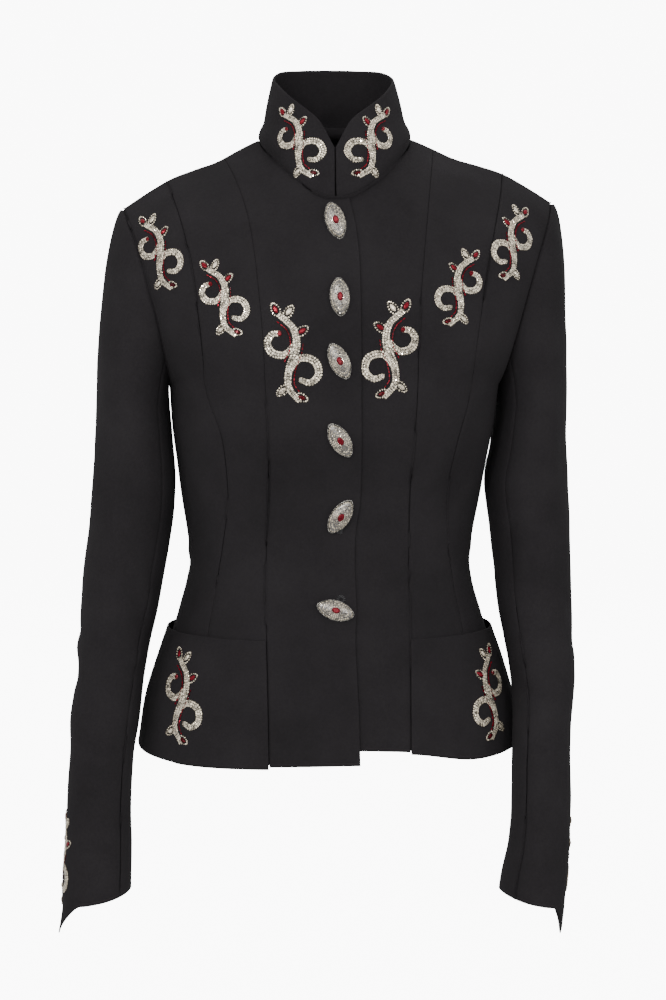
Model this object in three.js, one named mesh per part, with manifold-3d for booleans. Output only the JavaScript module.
// Fitted jacket in its worn form, with a stand collar, two-piece sleeves, hip pockets,
// six almond buttons and twelve beaded sprays. Sizes are in millimetres.
// The front faces -Y and Z is up. The origin is the centre of the neck base.
// side is -1 for the wearer's right half and +1 for the left half.
import * as THREE from 'three';
import Module from 'manifold-3d';

const wasm = await Module();
wasm.setup();

const CLOTH = 1.2;           // wall of the body and sleeves
const COLLAR_WALL = 2.6;     // two layers with a stiffener between them
const POCKET_WALL = 1.4;
const SEAM = 0.4;            // gap between neighbouring pieces
const SLEEVE_GAP = 0.5;      // gap between the armhole and the sleeve
const OVERLAP_INSET = 2.3;   // how far the left front lies under the right front
const UNDERLAP = 0.2;        // left front past the centre line, in stations
const BUTTON_RISE = 7;
const SPRAY_THICK = 1.7;
const LIFT = 1;              // what lies on the cloth stays this far off it

// Body sections from the hem up: half width, depth in front and behind, and roundness,
// where 2 is an ellipse and more is squarer
const BODY = [
  { z: -553, wide: 178, front: 124, back: 135, round: 2.3 },
  { z: -508, wide: 170.5, front: 121, back: 132, round: 2.3 },
  { z: -470, wide: 159.5, front: 117, back: 125, round: 2.3 },
  { z: -438, wide: 148.5, front: 112, back: 117, round: 2.3 },
  { z: -418, wide: 142.5, front: 108, back: 110, round: 2.3 },
  { z: -395, wide: 136, front: 103, back: 100, round: 2.3 },
  { z: -371, wide: 133, front: 99, back: 92, round: 2.3 },
  { z: -341, wide: 136.5, front: 99, back: 90, round: 2.3 },
  { z: -310, wide: 142, front: 104, back: 93, round: 2.3 },
  { z: -279, wide: 146.5, front: 113, back: 98, round: 2.4 },
  { z: -246, wide: 151.5, front: 121, back: 103, round: 2.55 },
  { z: -208, wide: 155, front: 122, back: 106, round: 2.7 },
];

// Seams from the hem up: distance of the three long seams from the centre
const SEAMS = [
  { z: -553, a: 66, b: 128, d: 84 },
  { z: -438, a: 67, b: 120, d: 68 },
  { z: -395, a: 67, b: 112, d: 60 },
  { z: -351, a: 66.5, b: 105.5, d: 56 },
  { z: -305, a: 65.5, b: 102.5, d: 60 },
  { z: -260, a: 67, b: 108, d: 70 },
  { z: -208, a: 69.5, b: 121.5, d: 84 },
];

// Centre lines above the underarm, as depth and height. They run on past the neckline,
// where the neck opening is cut, to the line of the shoulders.
const CHEST = [
  [-122, -208], [-115, -160], [-104, -115], [-90, -72], [-72, -31], [-51, -3], [-26, 20], [3, 38],
];
const SPINE = [
  [106, -208], [107.5, -165], [106, -122], [101, -80], [92, -38], [79, 2], [57, 31], [3, 38],
];

// Armhole from the underarm up to the shoulder tip, in front and behind
const ARM_FRONT = [
  [155, 5, -208], [156, -27, -202], [160.5, -49, -181], [168, -56, -150],
  [177, -51, -118], [186, -41, -87], [196, -22, -58], [203, 8, -39],
];
const ARM_BACK = [
  [155, 5, -208], [156, 36, -201], [162, 54, -178], [170, 60, -148],
  [179, 58, -117], [187, 50, -87], [196, 34, -59], [203, 8, -39],
];

// Shoulder line from the middle of the neck opening to the tip
const SHOULDER = [
  { x: 0, z: 38 }, { x: 40, z: 33 }, { x: 72, z: 23 }, { x: 93, z: 13.5 }, { x: 112, z: 4 }, { x: 135, z: -3.5 },
  { x: 156.5, z: -11 }, { x: 180, z: -24 }, { x: 203, z: -39 },
];
const SEAM_A_TOP = 93, SEAM_B_TOP = 156.5, SEAM_D_TOP = 120;

// Above the underarm the two front seams of the wearer's right stand further out than
// those of the left, by these shares of a station from the underarm to the shoulder
const RIGHT_OUT = { a: [0.03, 0.2], b: [0.09, 0.12] };

// Neck tube: half width, depth in front and behind, at each height
const NECK = [
  { z: -30, wide: 79, front: 72, back: 70 }, { z: 0, wide: 75, front: 69, back: 66 },
  { z: 23, wide: 72, front: 66, back: 62 }, { z: 39, wide: 66.5, front: 62, back: 58 },
  { z: 54, wide: 63.6, front: 59, back: 54 }, { z: 69, wide: 60, front: 55, back: 51 },
  { z: 88, wide: 54.6, front: 50, back: 48 },
];
const NECK_FRONT = 75, NECK_BACK = 59;   // reach of the neckline in front and behind
// Top edge of the collar, by angle from the centre front
const COLLAR_TOP = [
  { turn: 0, z: 15 }, { turn: 11, z: 38 }, { turn: 22.5, z: 49 }, { turn: 45, z: 63 },
  { turn: 67.5, z: 74 }, { turn: 90, z: 80 }, { turn: 120, z: 86.5 }, { turn: 150, z: 88 }, { turn: 180, z: 88.5 },
];

// Free edge of the right front, past the centre line
const EDGE = [
  { z: -553, x: 19 }, { z: -492, x: 17 }, { z: -437, x: 15 }, { z: -410, x: 16.5 },
  { z: -364, x: 15.5 }, { z: -336, x: 16.5 }, { z: -308, x: 20 }, { z: -214, x: 19.5 },
  { z: -96, x: 20 }, { z: -60, x: 17.5 }, { z: -30, x: 12 },
];

// Hem height by station: the left front is set a little higher
const HEM = {
  right: [{ q: 0, z: -553 }, { q: 2, z: -554 }, { q: 3, z: -549 }, { q: 5, z: -550 }],
  left: [{ q: 0, z: -539 }, { q: 1, z: -542 }, { q: 2, z: -551 }, { q: 3, z: -543 }, { q: 5, z: -549 }],
};

// The body leans a little to the wearer's left above the waist, and its shoulders tilt
const SWAY = [
  { z: -553, x: 0, tilt: 0 }, { z: -371, x: 0, tilt: 0 }, { z: -208, x: 4, tilt: 0 },
  { z: -130, x: 6, tilt: 0.004 }, { z: -40, x: 9.5, tilt: 0.012 }, { z: 30, x: 7.5, tilt: 0.012 },
  { z: 90, x: 6, tilt: 0 },
];

// Sleeves below the armhole: centre across, centre in depth, half width, half depth
const SLEEVES = {
  '-1': [
    { z: -228, x: 186, y: 0, wide: 35, deep: 62 }, { z: -262, x: 185, y: 0, wide: 37, deep: 59 },
    { z: -300, x: 185, y: -1, wide: 39, deep: 56 }, { z: -340, x: 189, y: -3, wide: 39, deep: 53 },
    { z: -378, x: 195, y: -7, wide: 38.5, deep: 50 }, { z: -412, x: 199.5, y: -13, wide: 37, deep: 47 },
    { z: -446, x: 205, y: -20, wide: 34, deep: 44 }, { z: -480, x: 209, y: -28, wide: 31.5, deep: 42 },
    { z: -515, x: 215, y: -37, wide: 32.5, deep: 40 }, { z: -550, x: 218, y: -46, wide: 30, deep: 38 },
    { z: -590, x: 221, y: -54, wide: 30, deep: 36 }, { z: -630, x: 222, y: -60, wide: 31, deep: 35.5 },
    { z: -665, x: 223.5, y: -64, wide: 32, deep: 36 }, { z: -700, x: 224, y: -67, wide: 33, deep: 37 },
  ],
  1: [
    { z: -228, x: 192.5, y: 0, wide: 33, deep: 62 }, { z: -262, x: 190, y: -1, wide: 35, deep: 59 },
    { z: -300, x: 187, y: -2, wide: 39, deep: 56 }, { z: -340, x: 190, y: -6, wide: 38, deep: 53 },
    { z: -378, x: 192, y: -14, wide: 36.5, deep: 50 }, { z: -412, x: 193, y: -25, wide: 35.5, deep: 47 },
    { z: -446, x: 195, y: -39, wide: 32.5, deep: 44 }, { z: -480, x: 197, y: -54, wide: 30, deep: 42 },
    { z: -515, x: 195, y: -69, wide: 27.5, deep: 40 }, { z: -550, x: 192.5, y: -82, wide: 27, deep: 38 },
    { z: -590, x: 191, y: -93, wide: 27.5, deep: 36 }, { z: -630, x: 188, y: -100, wide: 28.5, deep: 35.5 },
    { z: -665, x: 182.5, y: -105, wide: 31, deep: 36 }, { z: -700, x: 179, y: -109, wide: 31, deep: 37 },
  ],
};
// Lean of the cuff point away from the arm, at the tip
const TIP_LEAN = { '-1': 5, 1: -3 };
const CUFF_TIP = -717, CUFF_SIDE = -687, CUFF_INNER = -674;

const BUTTONS = [
  { x: -1.5, z: -52, lean: 15 }, { x: 0.5, z: -121, lean: 3 }, { x: -1, z: -179, lean: 25 },
  { x: -0.5, z: -251, lean: 32 }, { x: 1.5, z: -323, lean: -33 }, { x: -3.5, z: -410, lean: 73 },
];
const BUTTON_LONG = 36, BUTTON_WIDE = 18;

// Sprays: place of each side's, scale, lean of the head away from the middle and the way
// it faces. A spray on a sleeve has its turn round the sleeve in place of the first value
const SPRAYS = [
  { name: 'collar', right: [39, 21], left: [39, 21], scale: 0.86, lean: 32, face: 40, lift: 1, on: 'collar' },
  { name: 'shoulder', right: [165, -81], left: [167, -73], scale: 0.88, lean: 32, face: 20, lift: 1, on: 'body' },
  { name: 'breast', right: [98, -122], left: [105, -113], scale: 0.86, lean: 26, face: 12, lift: 1, on: 'body' },
  { name: 'front', right: [39, -172], left: [42, -169], scale: 1.05, lean: 14, face: 5, lift: 1, on: 'body' },
  { name: 'pocket', right: [131, -494], left: [131, -494], scale: 1, lean: 10, face: 38, lift: 1, on: 'pocket' },
  { name: 'cuff', right: [0, 0], left: [-14, 0], scale: 0.98, lean: 0, face: 90, lift: 1.8, on: 'sleeve' },
];

const rad = Math.PI / 180;
const mix = (a, b, t) => a + (b - a) * t;
const add = (a, b, k = 1) => [a[0] + b[0] * k, a[1] + b[1] * k, a[2] + b[2] * k];
const sub = (a, b) => [a[0] - b[0], a[1] - b[1], a[2] - b[2]];
const dot = (a, b) => a[0] * b[0] + a[1] * b[1] + a[2] * b[2];
const cross = (a, b) => [
  a[1] * b[2] - a[2] * b[1], a[2] * b[0] - a[0] * b[2], a[0] * b[1] - a[1] * b[0],
];
const unit = (a) => {
  const l = Math.hypot(...a) || 1;
  return [a[0] / l, a[1] / l, a[2] / l];
};
const blend = (a, b, t) => add(a, sub(b, a), t);
const step = (t) => {
  const k = Math.min(1, Math.max(0, t));
  return k * k * (3 - 2 * k);
};

// Smooth value of one column of a table, read at another column
function read(table, key, field, at) {
  const last = table.length - 1;
  if (at <= table[0][key]) return table[0][field];
  if (at >= table[last][key]) return table[last][field];
  let i = 0;
  while (table[i + 1][key] < at) i += 1;
  const slope = (j) => {
    if (j <= 0 || j >= last) return null;
    return (table[j + 1][field] - table[j - 1][field]) / (table[j + 1][key] - table[j - 1][key]);
  };
  const p = table[i], q = table[i + 1];
  const run = q[key] - p[key];
  const chord = (q[field] - p[field]) / run;
  const m0 = slope(i) ?? chord, m1 = slope(i + 1) ?? chord;
  const t = (at - p[key]) / run;
  const t2 = t * t, t3 = t2 * t;
  return (2 * t3 - 3 * t2 + 1) * p[field] + (t3 - 2 * t2 + t) * run * m0
    + (3 * t2 - 2 * t3) * q[field] + (t3 - t2) * run * m1;
}

// Smooth point on a list of points, read at a place counted in points
function along(points, at) {
  const last = points.length - 1;
  const i = Math.min(last - 1, Math.max(0, Math.floor(at)));
  const t = at - i;
  const p = points[i], q = points[i + 1];
  const o = points[i - 1] ?? add(p, sub(q, p), -1);
  const r = points[i + 2] ?? add(q, sub(q, p), 1);
  return p.map((_, k) => 0.5 * (2 * p[k] + (q[k] - o[k]) * t
    + (2 * o[k] - 5 * p[k] + 4 * q[k] - r[k]) * t * t
    + (3 * p[k] - o[k] - 3 * q[k] + r[k]) * t * t * t));
}

const UNDERARM = -208;
const LOW = BODY.map((row) => row.z);      // heights of the rows below the underarm
const ROW_UNDERARM = LOW.length - 1;
const ROW_TOP = ROW_UNDERARM + ARM_FRONT.length - 1;

// Point of a rounded section at an angle from the centre front
function sectionPoint({ wide, front, back, round }, angle) {
  const s = Math.sin(angle), c = Math.cos(angle);
  const x = wide * Math.sign(s) * Math.abs(s) ** (2 / round);
  const y = (c > 0 ? -front : back) * Math.abs(c) ** (2 / round);
  return [x, y];
}

function section(z) {
  const [wide, front, back, round] = ['wide', 'front', 'back', 'round'].map((f) => read(BODY, 'z', f, z));
  return { wide, front, back, round };
}

// Angle of a station at a height: 0 centre front, 1 and 2 front seams, 3 side,
// 4 back seam, 5 centre back
function stationAngle(q, z) {
  const { wide, round } = section(z);
  const turn = (x) => Math.asin((x / wide) ** (round / 2));
  const marks = [0, turn(read(SEAMS, 'z', 'a', z)), turn(read(SEAMS, 'z', 'b', z)), Math.PI / 2,
    Math.PI - turn(read(SEAMS, 'z', 'd', z)), Math.PI];
  const i = Math.min(4, Math.floor(q));
  return mix(marks[i], marks[i + 1], q - i);
}

function lowPoint(q, z) {
  return [...sectionPoint(section(z), stationAngle(q, z)), z];
}

function neckPoint(turn, z) {
  const wide = read(NECK, 'z', 'wide', z);
  const depth = read(NECK, 'z', turn < 90 ? 'front' : 'back', z);
  return [wide * Math.sin(turn * rad), 3 - depth * Math.cos(turn * rad), z];
}

function shoulderPoint(x) {
  return [x, 3 + 5 * (x - 72) / 131, read(SHOULDER, 'x', 'z', x)];
}

// Angle round the neck of a station, and the station of an angle
const neckTurn = (q) => (q <= 0.8 ? q / 0.8 * 90 : 90 + (q - 4.4) / 0.6 * 90);
const neckStation = (turn) => (turn <= 90 ? turn / 90 * 0.8 : 4.4 + (turn - 90) / 90 * 0.6);

// Line of the shoulders, which runs on over the neck opening
function ridgePoint(q) {
  if (q <= 0.8 || q >= 4.4) return shoulderPoint(72 * Math.sin(neckTurn(q) * rad));
  if (q <= 1) return shoulderPoint(mix(72, SEAM_A_TOP, (q - 0.8) / 0.2));
  if (q <= 2) return shoulderPoint(mix(SEAM_A_TOP, SEAM_B_TOP, q - 1));
  if (q <= 3) return shoulderPoint(mix(SEAM_B_TOP, 203, q - 2));
  if (q <= 4) return shoulderPoint(mix(203, SEAM_D_TOP, q - 3));
  return shoulderPoint(mix(SEAM_D_TOP, 72, (q - 4) / 0.4));
}

// Above the underarm each sheet is blended from its four edges
function sheetPoint(q, t, back) {
  const centre = back ? 5 : 0;
  const arm = along(back ? ARM_BACK : ARM_FRONT, t * 7);
  const mid = [0, ...along(back ? SPINE : CHEST, t * 7)];
  const u = Math.abs(stationAngle(q, UNDERARM) - (back ? Math.PI : 0)) / (Math.PI / 2);
  const low = lowPoint(q, UNDERARM), top = ridgePoint(q);
  const lowMid = lowPoint(centre, UNDERARM), topMid = ridgePoint(centre);
  const lowArm = lowPoint(3, UNDERARM), topArm = ridgePoint(3);
  const p = [0, 1, 2].map((k) => mix(low[k], top[k], t) + mix(mid[k], arm[k], u)
    - mix(mix(lowMid[k], topMid[k], t), mix(lowArm[k], topArm[k], t), u));
  const near = back ? 0 : Math.max(0, 1 - Math.abs(q - 1)) * 4 + Math.max(0, 1 - Math.abs(q - 2)) * 2;
  p[0] -= near * 4 * t * (1 - t);
  return p;
}

// Share of a station's height that lies below the neckline
const cuts = new Map();
function neckCut(q, back) {
  if (q >= 0.8 && q <= 4.4) return 1;
  if (!cuts.has(q)) {
    const reach = (back ? NECK_BACK : NECK_FRONT) * Math.cos(neckTurn(q) * rad);
    let low = 0.5, high = 1;
    for (let i = 0; i < 30; i += 1) {
      const t = (low + high) / 2;
      const short = Math.abs(sheetPoint(q, t, back)[1] - 3) > Math.abs(reach);
      if (short) low = t; else high = t;
    }
    cuts.set(q, (low + high) / 2);
  }
  return cuts.get(q);
}

function highPoint(q, t, back) {
  return sheetPoint(q, t * neckCut(q, back), back);
}

function hemHeight(side, q) {
  const table = side < 0 ? HEM.right : HEM.left;
  return read(table, 'q', 'z', Math.max(0, q));
}

function swayed(x, y, z) {
  return [x + read(SWAY, 'z', 'x', z) * x * x / (x * x + 2500), y, z + x * read(SWAY, 'z', 'tilt', z)];
}

// Share of a station by which a seam of the right front stands further out
function seamShift(side, q, row) {
  if (side > 0 || q <= 0.8 || q >= 3 || row <= ROW_UNDERARM - 1) return 0;
  const t = Math.max(0, (row - ROW_UNDERARM) / (ROW_TOP - ROW_UNDERARM));
  const fade = Math.min(1, row - ROW_UNDERARM + 1) ** 2;
  const a = mix(...RIGHT_OUT.a, t) * fade, b = mix(...RIGHT_OUT.b, t) * fade;
  if (q <= 1) return a * (q - 0.8) / 0.2;
  return q <= 2 ? mix(a, b, q - 1) : mix(b, 0, q - 2);
}

// Body point for one side. Rows count up from the hem, stations from the centre front.
// back chooses the sheet behind the shoulder where both meet at the armhole.
function bodyPoint(side, q, row, back = q > 3) {
  const flip = q < 0 ? -1 : 1;
  const station = Math.abs(q) + (back ? 0 : seamShift(side, q, row));
  let p;
  if (row <= ROW_UNDERARM) {
    const i = Math.min(LOW.length - 2, Math.floor(row));
    const foot = i === 0 ? hemHeight(side, q) : LOW[i];
    p = lowPoint(station, mix(foot, LOW[i + 1], row - i));
  } else {
    p = highPoint(station, (row - ROW_UNDERARM) / (ROW_TOP - ROW_UNDERARM), back);
  }
  return swayed(p[0] * side * flip, p[1], p[2]);
}

// Outward direction of the body at a place
function bodyNormal(side, q, row, back = q > 3) {
  if (row >= ROW_TOP && q >= 0.8 && q <= 4.4) {
    const x = ridgePoint(q)[0];
    const rise = shoulderPoint(x + 1)[2] - shoulderPoint(x - 1)[2];
    return unit([-side * rise / 2, 0, 1]);
  }
  const high = row > ROW_UNDERARM;
  const lowQ = high && back ? 3 : -2, highQ = high && !back ? 3 : 5;
  const q0 = Math.max(lowQ, q - 0.04), q1 = Math.min(highQ, q + 0.04);
  const r0 = Math.max(0, row - 0.2), r1 = Math.min(ROW_TOP, row + 0.2);
  const across = sub(bodyPoint(side, q1, row, back), bodyPoint(side, q0, row, back));
  const up = sub(bodyPoint(side, q, r1, back), bodyPoint(side, q, r0, back));
  const n = unit(cross(across, up));
  return side > 0 ? n : [-n[0], -n[1], -n[2]];
}

// Station where the body is x from the centre line
function stationAtX(row, x) {
  let low = 0, high = 0.8;
  for (let i = 0; i < 30; i += 1) {
    const mid = (low + high) / 2;
    if (bodyPoint(1, mid, row)[0] < x) low = mid; else high = mid;
  }
  return (low + high) / 2;
}

// Station of the right front's free edge, on the far side of the centre line
function overlapStation(row) {
  return -stationAtX(row, read(EDGE, 'z', 'x', bodyPoint(1, 0, row)[2]));
}

// Closed solid between an outer and an inner grid of points
function sheetSolid(outer, inner, wrap = false) {
  const rows = outer.length, cols = outer[0].length;
  const verts = [...outer.flat(), ...inner.flat()];
  const id = (i, j, layer) => layer * rows * cols + i * cols + (j % cols);
  const tris = [];
  const quad = (a, b, c, d) => tris.push([a, b, c], [a, c, d]);
  const spans = wrap ? cols : cols - 1;
  for (let i = 0; i < rows - 1; i += 1) {
    for (let j = 0; j < spans; j += 1) {
      quad(id(i, j, 0), id(i, j + 1, 0), id(i + 1, j + 1, 0), id(i + 1, j, 0));
      quad(id(i, j, 1), id(i + 1, j, 1), id(i + 1, j + 1, 1), id(i, j + 1, 1));
    }
  }
  for (let j = 0; j < spans; j += 1) {
    quad(id(0, j, 0), id(0, j, 1), id(0, j + 1, 1), id(0, j + 1, 0));
    quad(id(rows - 1, j, 0), id(rows - 1, j + 1, 0), id(rows - 1, j + 1, 1), id(rows - 1, j, 1));
  }
  if (!wrap) {
    for (let i = 0; i < rows - 1; i += 1) {
      quad(id(i, 0, 0), id(i + 1, 0, 0), id(i + 1, 0, 1), id(i, 0, 1));
      quad(id(i, cols - 1, 0), id(i, cols - 1, 1), id(i + 1, cols - 1, 1), id(i + 1, cols - 1, 0));
    }
  }
  return { verts, tris };
}

function volumeOf({ verts, tris }) {
  return tris.reduce((sum, [a, b, c]) => sum + dot(verts[a], cross(verts[b], verts[c])) / 6, 0);
}

// Mesh that faces outwards whichever way its grid runs
function meshOf(name, solid, material) {
  const flip = volumeOf(solid) < 0;
  const geometry = new THREE.BufferGeometry();
  geometry.setAttribute('position', new THREE.Float32BufferAttribute(solid.verts.flat(), 3));
  geometry.setIndex(solid.tris.flatMap(([a, b, c]) => (flip ? [a, c, b] : [a, b, c])));
  geometry.computeVertexNormals();
  const mesh = new THREE.Mesh(geometry, material);
  mesh.name = name;
  return mesh;
}

const paint = (color, roughness, metalness = 0) =>
  new THREE.MeshStandardMaterial({ color, roughness, metalness });
const CLOTH_LOOK = paint(0x1b1a1c, 0.95);
const CRYSTAL_LOOK = paint(0xd9dadf, 0.3);

// Move the rim of a grid inwards so that neighbours stay apart
function trimmed(grid, { left = 0, right = 0, top = 0 }) {
  const out = grid.map((row) => row.map((p) => [...p]));
  const rows = grid.length, cols = grid[0].length;
  for (let i = 0; i < rows; i += 1) {
    const a = unit(sub(grid[i][1], grid[i][0]));
    const b = unit(sub(grid[i][cols - 2], grid[i][cols - 1]));
    out[i][0] = add(out[i][0], a, left);
    out[i][cols - 1] = add(out[i][cols - 1], b, right);
  }
  for (let j = 0; j < cols; j += 1) {
    const d = unit(sub(grid[rows - 2][j], grid[rows - 1][j]));
    out[rows - 1][j] = add(out[rows - 1][j], d, top);
  }
  return out;
}

// One cut piece of the body: stations across, every row up
function bodyPanel(side, stations, { back = false, inset = () => 0, rim = {} } = {}) {
  const outer = [], inner = [];
  for (let row = 0; row <= ROW_TOP; row += 1) {
    const qs = stations.map((q) => (typeof q === 'function' ? q(row) : q));
    const points = qs.map((q) => bodyPoint(side, q, row, back));
    const normals = qs.map((q) => bodyNormal(side, q, row, back));
    outer.push(points.map((p, j) => add(p, normals[j], -inset(qs[j], row))));
    inner.push(points.map((p, j) => add(p, normals[j], -inset(qs[j], row) - CLOTH)));
  }
  return sheetSolid(trimmed(outer, rim), trimmed(inner, rim));
}

const FRONT = [0, 0.2, 0.4, 0.6, 0.8, 1];
const MID = [1, 1.5, 2];
const SIDE = [2, 2.33, 2.67, 3];
const SIDE_BACK = [3, 3.33, 3.67, 4];
const BACK = [4, 4.4, 4.6, 4.8, 5];
const half = SEAM / 2;

function bodyPanels() {
  const sunk = (q) => OVERLAP_INSET * (1 - step((q - 0.4) / 0.2));
  const meshes = [];
  for (const [side, word] of [[-1, 'right'], [1, 'left']]) {
    const first = side < 0 ? overlapStation : -UNDERLAP;
    const inset = side < 0 ? () => 0 : sunk;
    const panels = {
      front: [[first, ...FRONT], { inset, rim: { right: half, top: half } }],
      mid_front: [MID, { rim: { left: half, right: half, top: half } }],
      side_front: [SIDE, { rim: { left: half, right: half, top: half } }],
      side_back: [SIDE_BACK, { back: true, rim: { left: half, right: half, top: half } }],
      back: [BACK, { back: true, rim: { left: half, right: half, top: half } }],
    };
    for (const [name, [stations, options]] of Object.entries(panels)) {
      meshes.push(meshOf(`${word}_${name}`, bodyPanel(side, stations, options), CLOTH_LOOK));
    }
  }
  return meshes;
}

// Sleeve columns run from the shoulder tip down the front and up the back
const SLEEVE_COLUMNS = 14;

function armholePoint(side, turn) {
  const place = turn <= 180 ? 7 - turn / 180 * 7 : (turn - 180) / 180 * 7;
  return bodyPoint(side, 3, ROW_UNDERARM + place, turn > 180);
}

// Way the sleeve leaves the armhole
function armholeExit(side, turn) {
  const c = Math.cos(turn * rad), s = Math.sin(turn * rad);
  return unit([side * (0.35 + 0.12 * (1 + c)), -0.25 * s, -0.62 * (1 - c) - 0.36 * (1 + c)]);
}

function cuffHeight(turn) {
  const away = Math.min(turn, 360 - turn);
  const slope = mix(CUFF_SIDE, CUFF_INNER, step((away - 40) / 140));
  return slope + (CUFF_TIP - CUFF_SIDE) * Math.max(0, 1 - away / 58) ** 1.3;
}

function armPoint(side, turn, z) {
  const table = SLEEVES[side];
  const s = Math.sin(turn * rad), c = Math.cos(turn * rad);
  const value = (field) => read([...table].reverse(), 'z', field, z);
  const x = value('x') + value('wide') * Math.sign(c) * Math.abs(c) ** 0.93;
  const y = value('y') - value('deep') * Math.sign(s) * Math.abs(s) ** 0.93;
  const lean = TIP_LEAN[side] * step((-z - 690) / 40);
  return [side * (x + lean), y, z];
}

// Sleeve point: rows 0 to 5 shape the cap, the rest go down the arm to the cuff
const CAP_ROWS = 5;
const ARM_ROWS = [-228, -262, -300, -340, -378, -412, -446, -480, -515, -550, -590, -630, -665];
const SLEEVE_ROWS = CAP_ROWS + ARM_ROWS.length;

function sleevePoint(side, turn, row) {
  if (row >= CAP_ROWS) {
    const i = Math.min(ARM_ROWS.length - 1, Math.floor(row - CAP_ROWS));
    const next = i + 1 < ARM_ROWS.length ? ARM_ROWS[i + 1] : cuffHeight(turn);
    return armPoint(side, turn, mix(ARM_ROWS[i], next, row - CAP_ROWS - i));
  }
  const exit = armholeExit(side, turn);
  const start = add(armholePoint(side, turn), exit, SLEEVE_GAP);
  if (row < 1) return add(start, [0, 0, 1], 0).map((v, k) => v + headStep(exit, turn, row)[k]);
  const from = start.map((v, k) => v + headStep(exit, turn, 1)[k]);
  const to = armPoint(side, turn, ARM_ROWS[0]);
  const t = (row - 1) / (CAP_ROWS - 1);
  const reach = Math.hypot(...sub(to, from));
  const t2 = t * t, t3 = t2 * t;
  return from.map((_, k) => (2 * t3 - 3 * t2 + 1) * from[k] + (t3 - 2 * t2 + t) * exit[k] * reach * 0.35
    + (3 * t2 - 2 * t3) * to[k] + (t3 - t2) * [0, 0, -1][k] * reach * 0.9);
}

// The sleeve head stands a little over the shoulder, less towards the underarm
function headStep(exit, turn, t) {
  const crown = Math.max(0, Math.cos(turn * rad / 2)) ** 2 + Math.max(0, -Math.cos(turn * rad / 2)) ** 2;
  const length = mix(1.5, 4, crown);
  return [exit[0] * length * t, exit[1] * length * t, exit[2] * length * t + 3 * crown * t];
}

function sleeveNormal(side, turn, row) {
  const t0 = turn - 3, t1 = turn + 3;
  const wrap = (a) => (a + 360) % 360;
  const r0 = Math.max(0, row - 0.15), r1 = Math.min(SLEEVE_ROWS, row + 0.15);
  const across = sub(sleevePoint(side, wrap(t1), row), sleevePoint(side, wrap(t0), row));
  const down = sub(sleevePoint(side, turn, r1), sleevePoint(side, turn, r0));
  const n = unit(cross(across, down));
  return side > 0 ? n : [-n[0], -n[1], -n[2]];
}

// Columns of the two sleeve pieces: the under sleeve lies towards the body
const UPPER = [10, 11, 12, 13, 14, 15, 16, 17, 18, 19];
const UNDER = [5, 6, 7, 8, 9, 10];

function sleevePiece(side, columns) {
  const outer = [], inner = [];
  for (let row = 0; row <= SLEEVE_ROWS; row += 1) {
    const turns = columns.map((j) => (j % SLEEVE_COLUMNS) * 360 / SLEEVE_COLUMNS);
    const points = turns.map((turn) => sleevePoint(side, turn, row));
    outer.push(points);
    inner.push(points.map((p, j) => add(p, sleeveNormal(side, turns[j], row), -CLOTH)));
  }
  const rim = { left: half, right: half };
  return sheetSolid(trimmed(outer, rim), trimmed(inner, rim));
}

function sleeves() {
  const meshes = [];
  for (const [side, word] of [[-1, 'right'], [1, 'left']]) {
    meshes.push(meshOf(`${word}_upper_sleeve`, sleevePiece(side, UPPER), CLOTH_LOOK));
    meshes.push(meshOf(`${word}_under_sleeve`, sleevePiece(side, UNDER), CLOTH_LOOK));
  }
  return meshes;
}

// The collar stands on the neckline and its fronts curve apart
const COLLAR_TURNS = [0.35, 11.25, 22.5, 45, 67.5, 90, 120, 150, 180];
const COLLAR_ROWS = 5;

function neckFoot(turn) {
  return highPoint(neckStation(turn), 1, turn > 90);
}

function collarPoint(side, turn, up) {
  const foot = turn > 0.4 && turn < 22.5 ? blend(neckFoot(0.35), neckFoot(22.5), turn / 22.5) : neckFoot(turn);
  const top = read(COLLAR_TOP, 'turn', 'z', turn);
  const z = mix(foot[2] + SEAM + 0.2, top, up);
  const ring = neckPoint(turn, z);
  const x = mix(foot[0], ring[0], Math.min(1, up * 4)) * side;
  const y = mix(foot[1], ring[1], Math.min(1, up * 4));
  return swayed(x, y, z);
}

function collar() {
  const outer = [], inner = [];
  const turns = [...COLLAR_TURNS.map((t) => [-1, t]), ...COLLAR_TURNS.slice(0, -1).reverse().map((t) => [1, t])];
  for (let row = 0; row <= COLLAR_ROWS; row += 1) {
    const up = row / COLLAR_ROWS;
    outer.push(turns.map(([side, turn]) => collarPoint(side, turn, up)));
    inner.push(turns.map(([side, turn]) => {
      const p = collarPoint(side, turn, up);
      const n = unit([side * Math.sin(turn * rad), -Math.cos(turn * rad), 0.15 * up]);
      return add(p, n, -COLLAR_WALL);
    }));
  }
  return meshOf('collar', sheetSolid(outer, inner), CLOTH_LOOK);
}

// A pocket is laid over the hip panels and ends level with the hem
const POCKET_ROWS = [0, 1, 2, 3];
const POCKET_COLUMNS = [...MID, ...SIDE.slice(1), ...SIDE_BACK.slice(1)];

function pocketStand(q) {
  return q < 3 ? mix(1.8, 6, step((q - 1) / 1.8)) : mix(6, 1.8, step(q - 3));
}

function pocketPoint(side, q, row, depth = 0) {
  const p = bodyPoint(side, q, row), n = bodyNormal(side, q, row);
  const out = add(p, n, pocketStand(q) - depth);
  if (row === 0) out[2] -= 2;
  return out;
}

function pockets() {
  return [[-1, 'right'], [1, 'left']].map(([side, word]) => {
    const layer = (depth) => POCKET_ROWS.map((row) =>
      POCKET_COLUMNS.map((q) => pocketPoint(side, q, row, depth)));
    return meshOf(`${word}_pocket`, sheetSolid(layer(0), layer(POCKET_WALL)), CLOTH_LOOK);
  });
}

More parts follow.
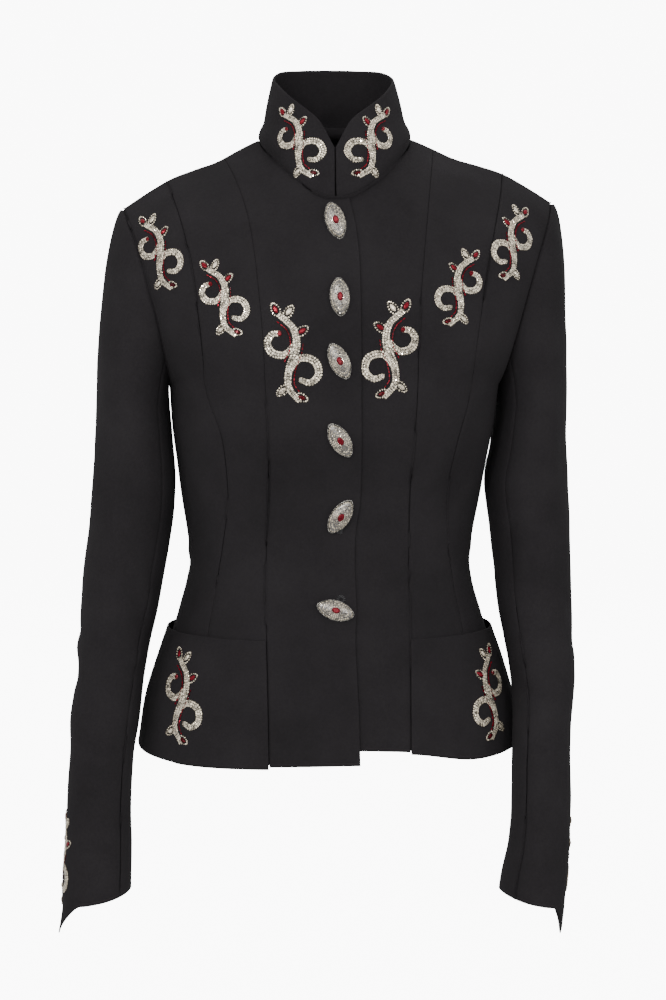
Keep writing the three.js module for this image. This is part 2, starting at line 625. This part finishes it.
// Skins are the plain outer surfaces that trims are dropped on
function gridTriangles(grid) {
  const tris = [];
  for (let i = 0; i < grid.length - 1; i += 1) {
    for (let j = 0; j < grid[0].length - 1; j += 1) {
      tris.push([grid[i][j], grid[i][j + 1], grid[i + 1][j + 1]]);
      tris.push([grid[i][j], grid[i + 1][j + 1], grid[i + 1][j]]);
    }
  }
  return tris;
}

function skinOf(kind, side) {
  if (kind === 'collar') {
    return gridTriangles([...Array(COLLAR_ROWS + 1).keys()].map((row) =>
      COLLAR_TURNS.map((turn) => collarPoint(side, turn, row / COLLAR_ROWS))));
  }
  if (kind === 'pocket') {
    return gridTriangles(POCKET_ROWS.map((row) => POCKET_COLUMNS.map((q) => pocketPoint(side, q, row))));
  }
  if (kind === 'sleeve') {
    return gridTriangles([...Array(SLEEVE_ROWS + 1).keys()].map((row) =>
      [...Array(SLEEVE_COLUMNS + 1).keys()].map((j) =>
        sleevePoint(side, (j % SLEEVE_COLUMNS) * 360 / SLEEVE_COLUMNS, row))));
  }
  const columns = [-0.3, ...FRONT, ...MID.slice(1), ...SIDE.slice(1)];
  return gridTriangles([...Array(ROW_TOP + 1).keys()].map((row) =>
    columns.map((q) => bodyPoint(side, q, row, false))));
}

// First meeting of a line with a skin, looking along the way given
function drop(skin, origin, way) {
  let best = null;
  for (const [a, b, c] of skin) {
    const e1 = sub(b, a), e2 = sub(c, a), h = cross(way, e2), det = dot(e1, h);
    if (Math.abs(det) < 1e-9) continue;
    const s = sub(origin, a), u = dot(s, h) / det, k = cross(s, e1), v = dot(way, k) / det;
    const t = dot(e2, k) / det;
    if (u < -1e-6 || v < -1e-6 || u + v > 1 + 1e-6 || t < 0) continue;
    if (best === null || t < best) best = t;
  }
  return best;
}

// Frame that faces a skin: across, up and the way in
function facing(side, face, lean) {
  const way = [-side * Math.sin(face * rad), Math.cos(face * rad), 0];
  const across = [Math.cos(face * rad), side * Math.sin(face * rad), 0];
  const c = Math.cos(lean * rad), s = Math.sin(lean * rad);
  const right = add([across[0] * c, across[1] * c, across[2] * c], [0, 0, 1], -s * side);
  return { way, right, up: cross(right, way) };
}

// Lay a solid built on the flat over a skin, layer by layer
function drape(flat, skin, centre, frame, lift) {
  const { way, right, up } = frame;
  const depths = new Map();
  return flat.map(([a, b, h]) => {
    const key = `${a.toFixed(3)},${b.toFixed(3)}`;
    const origin = add(add(add(centre, right, a), up, b), way, -200);
    if (!depths.has(key)) depths.set(key, drop(skin, origin, way));
    const t = depths.get(key);
    if (t === null) throw new Error(`a trim point misses its cloth at ${centre} ${a} ${b}`);
    return add(origin, way, t - lift - h);
  });
}

// Ribbon outline along a curve, tapered to its ends
function ribbon(points, width, steps) {
  const left = [], right = [];
  for (let i = 0; i <= steps; i += 1) {
    const at = i / steps * (points.length - 1);
    const [x, y] = along(points, at), [x1, y1] = along(points, at + 0.01);
    const l = Math.hypot(x1 - x, y1 - y) || 1;
    const w = width / 2 * (0.6 + 0.4 * Math.sin(Math.PI * i / steps));
    left.push([x - (y1 - y) / l * w, y + (x1 - x) / l * w]);
    right.push([x + (y1 - y) / l * w, y - (x1 - x) / l * w]);
  }
  return [...left.reverse(), ...right];
}

// Outline of a leaf or bud from its root
function leaf(x, y, length, width, turn) {
  const c = Math.cos(turn * rad), s = Math.sin(turn * rad);
  return [[0, 0], [0.35, -0.5], [0.75, -0.35], [1, 0], [0.75, 0.35], [0.35, 0.5]].map(([u, v]) =>
    [x + u * length * c - v * width * s, y + u * length * s + v * width * c]);
}

// Points of a curl that winds in from its root
function curl({ x, y, from, to, start, end }) {
  return [0, 1, 2, 3, 4, 5].map((k) => {
    const turn = mix(start, end, k / 5) * rad, r = mix(from, to, k / 5);
    return [x + r * Math.cos(turn), y + r * Math.sin(turn)];
  });
}

// The spray is a plain scroll and bud form, drawn at full scale about its middle
const STEM = [[4, -41], [10, -27], [5, -11], [-5, 4], [-6, 21], [3, 35]];
const CURLS = [
  { x: -8, y: -19, from: 15, to: 8, start: 20, end: 320 },
  { x: 9, y: 13, from: 14, to: 7, start: 205, end: 470 },
];
const LEAVES = [
  { x: 3, y: 33, turn: 75, size: 14 }, { x: 0, y: 31, turn: 140, size: 14 },
  { x: 9, y: -26, turn: -25, size: 14 }, { x: -6, y: 14, turn: 158, size: 14 },
  { x: 7, y: -35, turn: 215, size: 13 },
];
const BAND = 6.6, LEAF = 7;

function sprayOutline(scale) {
  const parts = [ribbon(STEM, BAND, 9), ...CURLS.map((c) => ribbon(curl(c), BAND, 10)),
    ...LEAVES.map((l) => leaf(l.x, l.y, l.size, LEAF, l.turn))];
  let shape = null;
  for (const part of parts) {
    const area = part.reduce((sum, [x, y], i) => {
      const [u, v] = part[(i + 1) % part.length];
      return sum + x * v - u * y;
    }, 0);
    const piece = new wasm.CrossSection([area > 0 ? part : [...part].reverse()]);
    shape = shape ? shape.add(piece) : piece;
  }
  return shape.scale(scale).simplify(0.3);
}

function flatSolid(shape, height) {
  const body = shape.extrude(height).getMesh();
  const verts = [], tris = [];
  for (let i = 0; i < body.vertProperties.length; i += 3) verts.push([...body.vertProperties.slice(i, i + 3)]);
  for (let i = 0; i < body.triVerts.length; i += 3) tris.push([...body.triVerts.slice(i, i + 3)]);
  return { verts, tris };
}

function sprays() {
  const meshes = [];
  for (const spec of SPRAYS) {
    for (const [side, word] of [[-1, 'right'], [1, 'left']]) {
      const solid = flatSolid(sprayOutline(spec.scale), SPRAY_THICK);
      const turn = spec.on === 'sleeve' ? spec[word][0] : 0;
      const centre = spec.on === 'sleeve'
        ? sleevePoint(side, turn, SLEEVE_ROWS - 1.5)
        : [side * spec[word][0], -60, spec[word][1]];
      const flat = solid.verts.map(([x, y, h]) => [x * side, y, h]);
      const frame = facing(side, spec.face - turn, spec.lean);
      const verts = drape(flat, skinOf(spec.on, side), centre, frame, spec.lift);
      meshes.push(meshOf(`${word}_${spec.name}_spray`, { verts, tris: solid.tris }, CRYSTAL_LOOK));
    }
  }
  return meshes;
}

// Almond button: pointed oval rings, flat below and closed over a domed top
const BUTTON_RINGS = [
  { scale: 0.45, rise: 0 }, { scale: 0.92, rise: 0 }, { scale: 1, rise: 0.25 },
  { scale: 0.82, rise: 0.62 }, { scale: 0.45, rise: 0.9 }, { scale: 0.2, rise: 1 },
];
const BUTTON_SIDES = 12;

function flatButton() {
  const verts = [[0, 0, 0]], tris = [];
  for (const { scale, rise } of BUTTON_RINGS) {
    for (let j = 0; j < BUTTON_SIDES; j += 1) {
      const turn = j / BUTTON_SIDES * 360 * rad;
      const point = 1 - 0.28 * Math.abs(Math.cos(turn)) ** 3;
      verts.push([BUTTON_WIDE / 2 * Math.sin(turn) * point * scale,
        BUTTON_LONG / 2 * Math.cos(turn) * scale, rise * BUTTON_RISE]);
    }
  }
  verts.push([0, 0, BUTTON_RISE]);
  const id = (i, j) => 1 + i * BUTTON_SIDES + (j % BUTTON_SIDES);
  const last = BUTTON_RINGS.length - 1;
  for (let j = 0; j < BUTTON_SIDES; j += 1) {
    tris.push([0, id(0, j + 1), id(0, j)], [verts.length - 1, id(last, j), id(last, j + 1)]);
    for (let i = 0; i < last; i += 1) {
      tris.push([id(i, j), id(i, j + 1), id(i + 1, j + 1)], [id(i, j), id(i + 1, j + 1), id(i + 1, j)]);
    }
  }
  return { verts, tris };
}

function buttons() {
  const rows = [...Array(ROW_TOP + 1).keys()];
  const skin = gridTriangles(rows.map((row) =>
    [overlapStation(row), ...FRONT].map((q) => bodyPoint(-1, q, row, false))));
  const { verts, tris } = flatButton();
  return BUTTONS.map((spec, k) => {
    const placed = drape(verts, skin, [spec.x, -60, spec.z], facing(-1, 0, spec.lean), LIFT);
    return meshOf(`button_${k + 1}`, { verts: placed, tris }, CRYSTAL_LOOK);
  });
}

const jacket = new THREE.Group();
jacket.name = 'embroidered_jacket';
for (const mesh of [...bodyPanels(), ...sleeves(), collar(), ...pockets(), ...buttons(), ...sprays()]) {
  jacket.add(mesh);
}

export default jacket;
